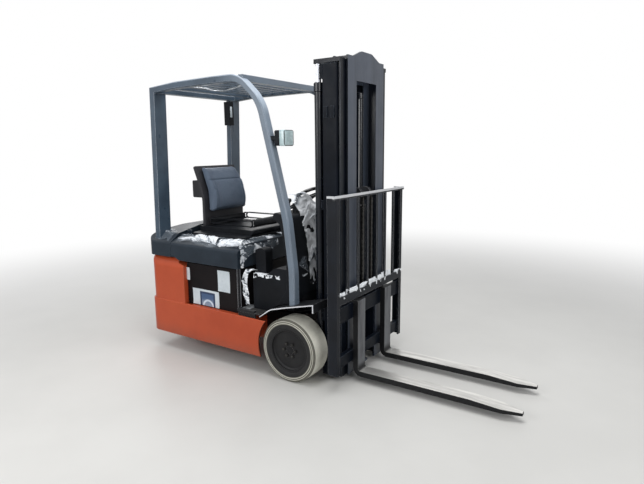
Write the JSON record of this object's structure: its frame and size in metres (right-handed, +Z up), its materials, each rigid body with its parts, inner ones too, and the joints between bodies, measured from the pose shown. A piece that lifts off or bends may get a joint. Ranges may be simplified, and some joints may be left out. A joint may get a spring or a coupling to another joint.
{
  "type": "three-wheel electric counterbalance forklift",
  "caption": "Compact electric counterbalance forklift with a nested mast, tilting and lifting forks, overhead guard, hinged seat hood and a steered rear axle.",
  "frame": {"origin": "on the floor under the middle of the overall box, forks included", "axes": "+X forwards along the forks, +Y to the driver's left, +Z up"},
  "size_m": [2.872, 1.012, 2.19],
  "materials": {
    "orange_paint": "semi-gloss orange-red paint",
    "dark_plastic": "fine grained dark blue-grey",
    "guard_paint": "satin blue-grey paint",
    "mast_paint": "satin black paint",
    "battery_case": "satin black paint",
    "black_steel": "worn black paint",
    "cast_housing": "painted casting",
    "lamp_housing": "matte black",
    "lever_black": "gloss black",
    "pedal_rubber": "matte",
    "black_trim": "matte black",
    "seat_cover": "grey vinyl",
    "tyre_rubber": "light non-marking rubber",
    "rim_paint": "dull grey paint",
    "hand_wheel_black": "black",
    "cylinder_paint": "gloss black paint",
    "rod_chrome": "ground chrome",
    "chain_steel": "oiled steel",
    "fork_steel": "black paint worn bright on top"
  },
  "bodies": {
    "chassis": {"chassis_frame": "orange_paint", "counterweight": "orange_paint", "rear_cover": "dark_plastic", "battery": "battery_case", "floor_plate": "black_steel", "front_fenders": "black_steel", "front_cowl": "dark_plastic", "overhead_guard": "guard_paint", "guard_roof_bars": "guard_paint", "head_lamps": "lamp_housing", "drive_unit": "cast_housing", "steering_column": "dark_plastic", "control_levers": "lever_black", "pedals": "pedal_rubber", "pillar_box": "lamp_housing"},
    "hood": {"battery_hood": "dark_plastic", "seat_base": "black_trim", "seat_cushion": "seat_cover", "seat_shell": "black_trim", "seat_back": "seat_cover"},
    "steer": {"steer_turntable": "cast_housing"},
    "rear_wheels": {"rear_tyres": "tyre_rubber", "rear_rims": "rim_paint"},
    "front_wheel_right": {"front_tyre_right": "tyre_rubber", "front_rim_right": "rim_paint"},
    "front_wheel_left": {"front_tyre_left": "tyre_rubber", "front_rim_left": "rim_paint"},
    "hand_wheel": {"steering_wheel": "hand_wheel_black"},
    "mast": {"mast_outer": "mast_paint", "lift_cylinders": "cylinder_paint"},
    "mast_mid": {"mast_middle": "mast_paint", "lift_rods": "rod_chrome"},
    "mast_in": {"mast_inner": "mast_paint", "free_lift_cylinder": "cylinder_paint", "lift_chain_rear": "chain_steel"},
    "free_head": {"free_lift_head": "rod_chrome", "lift_chain_front": "chain_steel"},
    "carriage": {"carriage_frame": "mast_paint", "load_backrest": "mast_paint"},
    "right_fork": {"fork_right": "fork_steel"},
    "left_fork": {"fork_left": "fork_steel"},
    "tilt_barrel": {"tilt_barrels": "cylinder_paint"},
    "tilt_rod": {"tilt_rods": "rod_chrome"}
  },
  "joints": [
    {"name": "hood_hinge", "type": "hinge", "parent": "chassis", "child": "hood", "pos_m": [-1.156, 0, 0.932], "axis": [0, -1, 0], "range_deg": [0, 45]},
    {"name": "steer_turn", "type": "hinge", "parent": "chassis", "child": "steer", "pos_m": [-1.166, 0, 0.38], "axis": [0, 0, 1], "range_deg": [-85, 85]},
    {"name": "rear_roll", "type": "hinge", "parent": "steer", "child": "rear_wheels", "pos_m": [-1.166, 0, 0.185], "axis": [0, 1, 0], "continuous": true},
    {"name": "front_right_roll", "type": "hinge", "parent": "chassis", "child": "front_wheel_right", "pos_m": [-0.036, -0.415, 0.222], "axis": [0, 1, 0], "continuous": true},
    {"name": "front_left_roll", "type": "hinge", "parent": "chassis", "child": "front_wheel_left", "pos_m": [-0.036, 0.415, 0.222], "axis": [0, 1, 0], "continuous": true},
    {"name": "hand_wheel_turn", "type": "hinge", "parent": "chassis", "child": "hand_wheel", "pos_m": [-0.258, 0, 1.208], "axis": [-0.5299, 0, 0.848], "continuous": true},
    {"name": "mast_tilt", "type": "hinge", "parent": "chassis", "child": "mast", "pos_m": [0.092, 0, 0.196], "axis": [0, 1, 0], "range_deg": [-5, 5]},
    {"name": "mast_lift", "type": "slide", "parent": "mast", "child": "mast_mid", "axis": [0, 0, 1], "range_m": [0, 1.5]},
    {"name": "inner_lift", "type": "slide", "parent": "mast_mid", "child": "mast_in", "axis": [0, 0, 1], "range_m": [0, 1.5]},
    {"name": "carriage_lift", "type": "slide", "parent": "mast_in", "child": "carriage", "axis": [0, 0, 1], "range_m": [0, 1.28], "deforming": ["lift_chain_front"]},
    {"name": "free_head_lift", "type": "slide", "parent": "mast_in", "child": "free_head", "axis": [0, 0, 1], "range_m": [0, 0.64], "deforming": ["lift_chain_rear"]},
    {"name": "fork_right_shift", "type": "slide", "parent": "carriage", "child": "right_fork", "axis": [0, 1, 0], "range_m": [-0.16, 0.13]},
    {"name": "fork_left_shift", "type": "slide", "parent": "carriage", "child": "left_fork", "axis": [0, 1, 0], "range_m": [-0.13, 0.16]},
    {"name": "tilt_swing", "type": "hinge", "parent": "chassis", "child": "tilt_barrel", "pos_m": [-0.251, 0, 0.372], "axis": [0, 1, 0], "range_deg": [-1.18, 1.18]},
    {"name": "tilt_stroke", "type": "slide", "parent": "tilt_barrel", "child": "tilt_rod", "axis": [0.9636, 0, 0.2675], "range_m": [-0.0233, 0.0233]}
  ],
  "couplings": [
    {"joint": "inner_lift", "follows": "mast_lift", "ratio": 1},
    {"joint": "free_head_lift", "follows": "carriage_lift", "ratio": 0.5},
    {"joint": "tilt_swing", "follows": "mast_tilt", "ratio": 0.22637},
    {"joint": "tilt_stroke", "follows": "mast_tilt", "m_per_rad": 0.26134}
  ]
}
